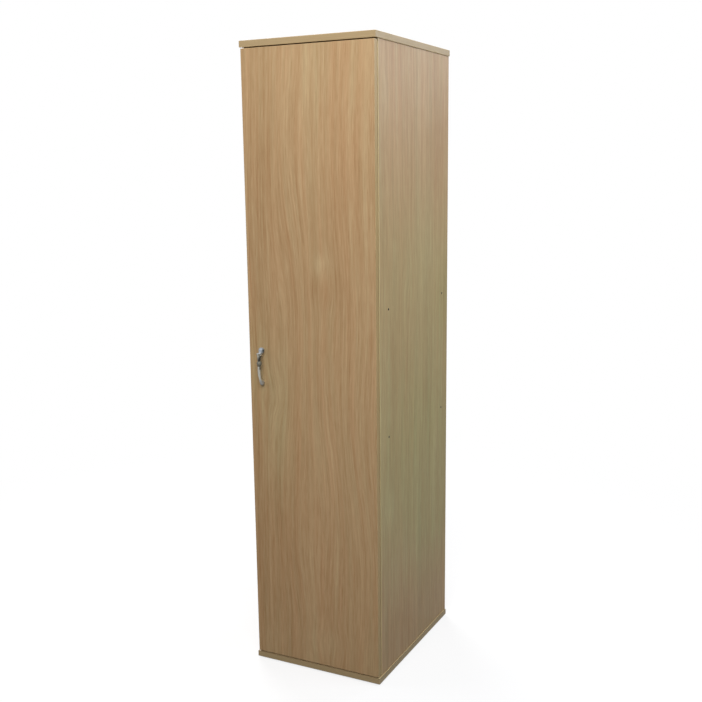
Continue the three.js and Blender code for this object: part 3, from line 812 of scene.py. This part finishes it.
@dataclass(frozen=True)
class Moulded:
    """Moulded plastic or rubber with a fine spark-eroded grain and pale scuffs."""

    name: str
    colour: Colour
    roughness: float
    grain_scale: float = 2200.0
    grain_share: float = 0.3
    grain_matt: float = 0.15
    scuff_tint: Colour = (1.6, 1.6, 1.6)
    scuff_scale: float = 120.0
    scuff_edges: Range = (0.5, 0.8)
    scuff_share: float = 0.3
    scuff_matt: float = 0.1
    relief: float = 0.05 * MILLI

    def material(self) -> bpy.types.Material:
        """Builds the moulded material.

        Returns:
            The finished material.
        """
        material, graph = new_material(self.name)
        place = graph.vector(*graph.position())
        grain = graph.ripple(place, scale=self.grain_scale, detail=2.0)
        scuffs = graph.noise(place, scale=self.scuff_scale, detail=3.0).rise(*self.scuff_edges)
        body = graph.scaled(self.colour, grain * self.grain_share + 1.0)
        scuffed = tinted(self.colour, self.scuff_tint)
        graph.surface({
            "Base Color": graph.mix(scuffs * self.scuff_share, body, scuffed),
            "Roughness": grain * self.grain_matt + scuffs * self.scuff_matt + self.roughness,
            "Normal": graph.bump(grain, self.relief),
        })
        return material


# ---------------------------------------------------------------- boards and fittings


def give(node: str, material: bpy.types.Material) -> None:
    """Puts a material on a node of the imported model.

    Args:
        node: the node's name.
        material: its finish.
    """
    data = frame["nodes"][node].data
    data.materials.clear()
    data.materials.append(material)
    LOG.info("dressed %s with %s", node, material.name)


@dataclass
class Cabinet:
    """Dresses the boards of the cabinet and its door."""

    laminate: BeechLaminate = BeechLaminate()
    hardboard: Hardboard = Hardboard()
    boards: tuple[Board, ...] = (
        Board("door", Lie.FACING, 1.31, edge=(1.04, 0.97, 0.8), figures=(
            Figure(-0.06, 0.42, 0.055, 0.34, lean=0.15, tone=-0.05),
            Figure(0.11, 0.35, 0.09, 0.4, lean=0.05),
            Figure(0.036, 0.309, 0.027, 0.036, push=0.45, tone=0.2),
            Figure(0.034, 0.235, 0.035, 0.05, push=0.5, tone=-0.1),
            Figure(0.02, 0.75, 0.03, 0.25, tone=0.13),
            Figure(-0.18, 0.35, 0.05, 0.6, tone=-0.06),
            Figure(0.0, 0.88, 0.3, 0.12, tone=0.05),
            Figure(0.14, 0.8, 0.08, 0.24, tone=0.09),
            Figure(-0.09, 0.1, 0.03, 0.3, tone=0.1),
            Figure(-0.14, -0.1, 0.035, 0.04, push=0.35, tone=-0.05),
            Figure(-0.13, -0.02, 0.04, 0.08, lean=0.16),
            # the green tint in these two figures is a painted green reflection
            Figure(-0.19, 0.0, 0.035, 0.14, tone=0.06, cast=0.3),
            Figure(-0.11, -0.17, 0.05, 0.22, lean=-0.08, tone=0.12, cast=0.15),
            Figure(0.05, -0.22, 0.05, 0.3, lean=0.1, tone=0.1),
            Figure(-0.05, -0.65, 0.06, 0.2, lean=0.1, tone=-0.05),
            Figure(-0.17, -0.56, 0.1, 0.28, tone=-0.11),
            Figure(0.15, -0.35, 0.06, 0.3, lean=0.12, tone=0.07),
            Figure(0.04, -0.83, 0.045, 0.05, push=0.5, tone=0.15),
        )),
        # painted highlight: the bright arris tint along the right side's front edge
        Board("side_panel_right", Lie.SIDEWAYS, 2.17, contrast=1.05, shade=0.99,
              arris=(1.15, 1.17, 1.1), arris_share=1.0, figures=(
            Figure(-0.219, 0.762, 0.025, 0.06, push=0.8, tone=0.12),
            Figure(-0.054, 0.19, 0.04, 0.1, push=0.7, tone=0.06),
            Figure(-0.054, 0.34, 0.05, 0.1, lean=0.12),
            Figure(-0.201, -0.4, 0.03, 0.06, push=0.8, tone=0.15),
            # the green tint in these figures is a painted green reflection on the side
            Figure(0.05, -0.3, 0.5, 0.42, cast=1.0),
            Figure(0.05, 0.3, 0.5, 0.2, tone=0.05, cast=0.3),
            Figure(0.18, 0.67, 0.14, 0.19, tone=-0.13),
            Figure(0.24, 0.16, 0.08, 0.14, tone=-0.05, cast=0.5),
            Figure(0.17, -0.48, 0.2, 0.22, tone=-0.05, cast=0.5),
            Figure(0.05, -0.8, 0.4, 0.16, tone=-0.12),
            Figure(-0.26, -0.05, 0.06, 0.3, tone=0.06),
            # painted highlight: a thin bright strip along the side's front edge
            Figure(-0.2545, 0.0, 0.0025, 3.0, tone=0.4),
        )),
        Board("side_panel_left", Lie.SIDEWAYS, 3.43, contrast=0.8, figures=(
            Figure(0.06, 0.3, 0.04, 0.09, push=0.7, tone=0.1),
        )),
        # painted light: the pale arris tint lightens the dark shadow line under the top panel's
        # overhang
        Board("top_panel", Lie.FLAT, 4.09, arris=(1.1, 1.08, 1.05), arris_share=0.9),
        # painted shade: the dark arris tint darkens the gap under the door and the bottom panel's
        # lower edge
        Board("bottom_panel", Lie.FLAT, 5.27, arris=(0.1, 0.06, 0.03), arris_share=1.0, figures=(
            # painted light: the whole bottom panel made paler and greener
            Figure(0.0, 0.0, 2.0, 2.0, tone=0.12, cast=0.1),
            # painted highlight: the bright strip on the ledge beside the right side
            Figure(0.0, 0.21, 2.0, 0.012, tone=0.48),
        )),
        Board("shelf_lower", Lie.FLAT, 6.61),
        Board("shelf_upper", Lie.FLAT, 7.83),
    )

    def dress(self) -> None:
        """Gives every board its finish."""
        for board in self.boards:
            give(board.node, self.laminate.material(board))
        give("back_panel", self.hardboard.material("back_panel"))


@dataclass
class Fittings:
    """Dresses the hinges, screws, cams, rail, glides and bumpers."""

    finishes: tuple[Metal | Moulded, ...] = (
        Metal("hinge_steel", linear(196, 194, 188), linear(120, 116, 108), 0.3, 0.35),
        Metal("dark_steel", linear(72, 66, 58), linear(34, 30, 26), 0.42, 0.5),
        Metal("zinc_alloy", linear(168, 168, 170), linear(112, 112, 114), 0.46, 0.4,
              tarnish_scale=140.0),
        Metal("rail_chrome", linear(214, 216, 218), linear(170, 172, 176), 0.16, 0.2,
              tarnish_scale=40.0, brush=(40.0, 900.0, 900.0)),
        Moulded("glide_plastic", linear(48, 44, 40), 0.55),
        Moulded("bumper_rubber", linear(205, 203, 192), 0.35),
    )

    def dress(self) -> None:
        """Gives every fitting the finish that its slot in the record names."""
        made = {finish.name: finish.material() for finish in self.finishes}
        for part in frame["record"]["subparts"]:
            if part["material_slot"] in made:
                give(part["node"], made[part["material_slot"]])


# ---------------------------------------------------------------- modelling tools


def deselect() -> None:
    """Selects nothing."""
    for piece in bpy.context.view_layer.objects.selected[:]:
        piece.select_set(False)


def only(piece: bpy.types.Object) -> None:
    """Selects one object and nothing else.

    Args:
        piece: the object, which also becomes the active one.
    """
    deselect()
    piece.select_set(True)
    bpy.context.view_layer.objects.active = piece


def apply_modifier(piece: bpy.types.Object, kind: str, **settings: Any) -> None:
    """Adds a modifier and applies it.

    Args:
        piece: the object that it shapes.
        kind: the modifier's type.
        settings: its properties.
    """
    only(piece)
    modifier = piece.modifiers.new(kind.lower(), kind)
    for name, value in settings.items():
        setattr(modifier, name, value)
    bpy.ops.object.modifier_apply(modifier=modifier.name)


def leave_edit_mode() -> None:
    """Points all faces of the edited mesh outwards and goes back to object mode."""
    bpy.ops.mesh.select_all(action="SELECT")
    bpy.ops.mesh.normals_make_consistent(inside=False)
    bpy.ops.object.mode_set(mode="OBJECT")


# ---------------------------------------------------------------- bow handle


@dataclass(frozen=True)
class End:
    """The knob or the foot: its height above the handle's middle and its size, in metres."""

    rise: float
    radius: float
    depth: float
    length: float


@dataclass
class BowHandle:
    """The cast bow handle: a knob, a bow with collar and bulb, and a leaf-shaped foot.

    The path's pairs are shares of the reach off the door and of the spacing of the two fixings.
    The profile's pairs are a share of the path's length and the radius there in millimetres.
    """

    centre_x: float = -0.162
    height: float = 0.932
    spacing: float = 0.096
    reach: float = 0.028
    reach_share: float = 0.94
    seat: float = -0.2512
    path: tuple[Range, ...] = (
        (0.27, 0.5), (0.52, 0.46), (0.73, 0.39), (0.8, 0.29), (0.79, 0.2), (0.77, 0.125),
        (0.8, 0.02), (0.81, -0.095), (0.76, -0.22), (0.64, -0.345), (0.45, -0.44), (0.3, -0.5),
        (0.22, -0.54))
    path_steps: int = 20
    profile: tuple[Range, ...] = (
        (0.0, 4.6), (0.06, 4.2), (0.095, 3.4), (0.113, 3.4), (0.121, 6.6), (0.128, 8.6),
        (0.135, 8.9), (0.142, 8.4), (0.15, 6.4), (0.165, 6.1), (0.19, 5.7), (0.22, 5.2),
        (0.26, 4.7), (0.295, 4.3), (0.31, 4.4), (0.325, 5.4), (0.342, 6.7), (0.36, 7.4),
        (0.378, 7.6), (0.396, 7.4), (0.414, 6.6), (0.431, 5.3), (0.446, 4.4), (0.47, 4.3),
        (0.52, 4.5), (0.58, 4.7), (0.65, 4.7), (0.72, 4.4), (0.78, 3.9), (0.82, 4.1),
        (0.86, 4.7), (0.9, 5.3), (0.945, 5.8), (0.97, 5.8), (0.99, 5.0), (1.0, 3.4))
    sides: int = 24
    collar: Range = (0.12, 0.145)
    collar_tilt: float = math.radians(15)
    knob: End = End(0.049, 0.00837, 0.015, 0.0189)
    foot: End = End(-0.048, 0.0052, 0.00884, 0.015)
    ball_segments: int = 32
    ball_rings: int = 20
    pad_share: float = 0.3
    voxel: float = 0.4 * MILLI
    smoothing: float = 0.5
    smoothing_rounds: int = 4

    @staticmethod
    def _curve(knots: Sequence[Vector], place: float) -> Vector:
        """Follows a smooth curve through points.

        Args:
            knots: the points.
            place: the place on the curve, counted in points from the first.

        Returns:
            The point there.
        """
        index = min(int(place), len(knots) - 2)
        t = place - index
        a, b = knots[max(index - 1, 0)], knots[index]
        c, d = knots[index + 1], knots[min(index + 2, len(knots) - 1)]
        return (b * 2 + (c - a) * t + (a * 2 - b * 5 + c * 4 - d) * t * t
                + (b * 3 - a - c * 3 + d) * t * t * t) / 2

    def _line(self) -> tuple[list[Vector], list[float]]:
        """Lays the bow's middle line.

        Returns:
            Its points from the knob to the foot, and how far along it each of them lies.
        """
        knots = [Vector((self.centre_x, self.seat - near * self.reach * self.reach_share,
                         self.height + rise * self.spacing)) for near, rise in self.path]
        points = [self._curve(knots, step / self.path_steps)
                  for step in range(self.path_steps * (len(knots) - 1) + 1)]
        runs = [0.0]
        for first, second in zip(points, points[1:]):
            runs.append(runs[-1] + (second - first).length)
        return points, runs

    @staticmethod
    def _track(points: Sequence[Vector], runs: Sequence[float],
               share: float) -> tuple[Vector, float]:
        """Finds where the bow is at a share of its length.

        Args:
            points: the points of its middle line.
            runs: how far along the line each of them lies.
            share: 0 at the knob, 1 at the foot.

        Returns:
            The point, and the bow's heading as an angle about the X axis from straight down.
        """
        last = len(points) - 1
        wanted = share * runs[-1]
        index = min(max(bisect_left(runs, wanted), 1), last)
        span = runs[index] - runs[index - 1]
        point = points[index - 1].lerp(points[index], (wanted - runs[index - 1]) / span)
        way = points[min(index + 1, last)] - points[max(index - 2, 0)]
        return point, math.atan2(-way.y, -way.z)

    def _bow(self) -> bpy.types.Object:
        """Draws the bow: one ring is extruded, resized and turned from the knob to the foot.

        Returns:
            The bow, closed at both ends.
        """
        points, runs = self._line()
        start, heading = self._track(points, runs, 0.0)
        radius, tilted = self.profile[0][1] * MILLI, False
        bpy.ops.mesh.primitive_circle_add(vertices=self.sides, radius=radius, fill_type="NGON",
                                          location=start)
        bow = bpy.context.active_object
        bpy.ops.object.mode_set(mode="EDIT")
        bpy.ops.mesh.select_all(action="SELECT")
        bpy.ops.transform.rotate(value=heading, orient_axis="X", center_override=start)
        for share, millimetres in self.profile[1:]:
            point, turned = self._track(points, runs, share)
            bpy.ops.mesh.extrude_region_move(TRANSFORM_OT_translate={"value": point - start})
            grown = millimetres * MILLI / radius
            bpy.ops.transform.resize(value=(grown, grown, grown), center_override=point)
            bpy.ops.transform.rotate(value=turned - heading, orient_axis="X",
                                     center_override=point)
            inside = self.collar[0] < share < self.collar[1]
            if inside != tilted:
                tilt = self.collar_tilt if inside else -self.collar_tilt
                bpy.ops.transform.rotate(value=tilt, orient_axis="Y", center_override=point)
                tilted = inside
            start, heading, radius = point, turned, millimetres * MILLI
        leave_edit_mode()
        return bow

    def _end(self, end: End) -> bpy.types.Object:
        """Shapes the knob or the foot from a ball, with its back drawn to the door as a pad.

        Args:
            end: where it is and how large.

        Returns:
            The finished end.
        """
        centre = Vector((self.centre_x, self.seat - end.depth / 2, self.height + end.rise))
        bpy.ops.mesh.primitive_uv_sphere_add(
            segments=self.ball_segments, ring_count=self.ball_rings, radius=end.radius,
            location=centre, rotation=(math.pi / 2, 0, 0))
        ball = bpy.context.active_object
        bpy.ops.object.transform_apply(location=True, rotation=True, scale=True)
        bpy.ops.object.mode_set(mode="EDIT")
        bpy.ops.mesh.select_all(action="SELECT")
        bpy.ops.transform.resize(
            value=(1.0, end.depth / 2 / end.radius, end.length / 2 / end.radius),
            center_override=centre)
        bpy.ops.mesh.select_all(action="DESELECT")
        bpy.ops.object.mode_set(mode="OBJECT")
        cut = end.depth * self.pad_share
        for face in ball.data.polygons:
            face.select = face.center.y > centre.y + cut
        bpy.ops.object.mode_set(mode="EDIT")
        bpy.ops.mesh.delete(type="FACE")
        bpy.ops.mesh.select_all(action="DESELECT")
        bpy.ops.mesh.select_non_manifold()
        bpy.ops.mesh.extrude_region_move(
            TRANSFORM_OT_translate={"value": (0, self.seat - centre.y - cut, 0)})
        bpy.ops.transform.resize(value=(1.0, 0.0, 1.0),
                                 center_override=(centre.x, self.seat, centre.z))
        bpy.ops.mesh.edge_face_add()
        leave_edit_mode()
        return ball

    def build(self, finish: HandleNickel) -> bpy.types.Object:
        """Models the handle as one casting.

        Args:
            finish: its finish.

        Returns:
            The handle, riding on the door in place of its plain solid.
        """
        deselect()
        handle, knob, foot = self._bow(), self._end(self.knob), self._end(self.foot)
        only(handle)
        knob.select_set(True)
        foot.select_set(True)
        bpy.ops.object.join()
        bpy.ops.object.transform_apply(location=True, rotation=True, scale=True)
        handle.name = handle.data.name = "bow_handle"
        apply_modifier(handle, "REMESH", mode="VOXEL", voxel_size=self.voxel)
        apply_modifier(handle, "SMOOTH", factor=self.smoothing, iterations=self.smoothing_rounds)
        bpy.ops.object.shade_smooth()
        handle.data.materials.clear()
        handle.data.materials.append(finish.material(self.centre_x, self.height))
        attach(handle, "door")
        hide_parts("handle")
        LOG.info("built %s with %d faces", handle.name, len(handle.data.polygons))
        return handle


# ---------------------------------------------------------------- floor, light and camera


@dataclass(frozen=True)
class Lamp:
    """One round soft lamp."""

    name: str
    place: Triple
    target: Triple
    size: float
    power: float
    colour: Colour

    def build(self) -> None:
        """Hangs the lamp and turns it to its target."""
        data = bpy.data.lights.new(self.name, "AREA")
        data.shape = "DISK"
        data.size = self.size
        data.energy = self.power
        data.color = self.colour
        lamp = bpy.data.objects.new(self.name, data)
        lamp.location = self.place
        way = Vector(self.target) - Vector(self.place)
        lamp.rotation_euler = way.to_track_quat("-Z", "Y").to_euler()
        bpy.context.scene.collection.objects.link(lamp)
        LOG.info("hung %s", self.name)


@dataclass
class Studio:
    """A pale floor that fades into a white surround, and soft lamps."""

    floor_size: float = 24.0
    floor_colour: Colour = (0.23, 0.23, 0.23)
    floor_seen: Colour = (0.95, 0.95, 0.95)
    floor_lift: float = 0.75
    fade: Range = (0.7, 2.4)
    ambient: float = 0.12
    gloss_share: float = 0.4
    lamps: tuple[Lamp, ...] = (
        Lamp("key", (0.8, -2.4, 3.2), (0.0, 0.0, 1.7), 2.4, 109.0, (1.0, 0.985, 1.0)),
        Lamp("left_fill", (-2.6, -1.2, 2.2), (0.0, 0.0, 1.4), 2.0, 20.0, (1.0, 0.97, 0.98)),
        Lamp("side_fill", (1.9, 0.2, 2.25), (0.2, 0.0, 1.65), 1.6, 26.0, (0.88, 1.0, 1.06)),
        Lamp("sheen", (2.3, 4.0, 2.9), (0.2, 0.0, 1.8), 2.2, 42.0, (1.0, 0.96, 1.14)),
        Lamp("rear_fill", (-2.5, 2.6, 2.5), (-0.1, 0.1, 1.2), 2.6, 140.0, (1.0, 0.99, 0.97)),
    )

    def _seen(self, graph: Graph) -> Signal:
        """Tells what is seen from what only lights the wardrobe.

        Args:
            graph: the tree to add to.

        Returns:
            1 for what the camera sees directly or through glass, and less for what gloss shows.
        """
        rays = ("Is Camera Ray", "Is Glossy Ray", "Is Transmission Ray")
        camera, gloss, glass = (graph.node("ShaderNodeLightPath", {}, {}, ray) for ray in rays)
        return (camera + gloss * self.gloss_share + glass).clamped()

    def _light_surround(self) -> None:
        """Makes the surround white where it is seen, and a faint light elsewhere."""
        world = bpy.data.worlds.new("surround")
        world.use_nodes = True
        bpy.context.scene.world = world
        graph = Graph(world.node_tree)
        strength = self._seen(graph) * (1.0 - self.ambient) + self.ambient
        light = graph.node("ShaderNodeBackground", {}, {"Color": WHITE, "Strength": strength})
        graph.end(light, "ShaderNodeOutputWorld")

    def _lay_floor(self) -> None:
        """Lays the floor, which keeps the wardrobe's shadow and fades to white further out."""
        deselect()
        bpy.ops.mesh.primitive_plane_add(size=self.floor_size)
        floor = bpy.context.active_object
        floor.name = "studio_floor"
        material, graph = new_material("studio_floor")
        x, y, _ = graph.position()
        far = (x * x + y * y).power(0.5).rise(*self.fade)
        tint = graph.mix(self._seen(graph), self.floor_colour, self.floor_seen)
        matt = graph.node("ShaderNodeBsdfDiffuse", {}, {"Color": tint})
        glow = graph.node("ShaderNodeEmission", {}, {"Color": WHITE, "Strength": 1.0})
        lift = self._seen(graph) * (far * (1.0 - self.floor_lift) + self.floor_lift)
        graph.end(graph.node("ShaderNodeMixShader", {}, {0: lift, 1: matt, 2: glow}))
        floor.data.materials.append(material)
        LOG.info("laid %s", floor.name)

    def build(self) -> None:
        """Sets the surround, lays the floor and hangs the lamps."""
        self._light_surround()
        self._lay_floor()
        for lamp in self.lamps:
            lamp.build()
        bpy.context.scene.view_settings.view_transform = "Standard"


@dataclass
class PhotoCamera:
    """The camera at the photograph's viewing angle, in metres, degrees and pixels."""

    place: Triple = (1.3558, -2.6771, 1.4901)
    yaw: float = 26.858
    pitch: float = -11.26
    roll: float = -0.692
    focal_pixels: float = 989.8
    axis_row: float = 368.7
    image_size: int = 702
    sensor: float = 36.0

    def build(self) -> None:
        """Adds the camera and makes it the scene's."""
        yaw, pitch, roll = (math.radians(angle) for angle in (self.yaw, self.pitch, self.roll))
        ahead = Vector((-math.sin(yaw) * math.cos(pitch), math.cos(yaw) * math.cos(pitch),
                        math.sin(pitch)))
        right = Vector((math.cos(yaw), math.sin(yaw), 0.0))
        up = right.cross(ahead)
        tilted_right = right * math.cos(roll) + up * math.sin(roll)
        tilted_up = up * math.cos(roll) - right * math.sin(roll)
        turn = Matrix((tilted_right, tilted_up, -ahead)).transposed()
        data = bpy.data.cameras.new("photo_camera")
        data.sensor_width = self.sensor
        data.lens = self.focal_pixels / self.image_size * self.sensor
        data.shift_y = (self.axis_row - self.image_size / 2) / self.image_size
        camera = bpy.data.objects.new("photo_camera", data)
        camera.location = self.place
        camera.rotation_euler = turn.to_euler()
        bpy.context.scene.collection.objects.link(camera)
        bpy.context.scene.camera = camera
        LOG.info("placed %s", camera.name)


def main() -> None:
    """Dresses the wardrobe and sets up its studio."""
    logging.basicConfig(level=logging.INFO, format="%(name)s: %(message)s")
    Studio().build()
    PhotoCamera().build()
    Cabinet().dress()
    Fittings().dress()
    BowHandle().build(HandleNickel())


if __name__ == "__main__":
    main()
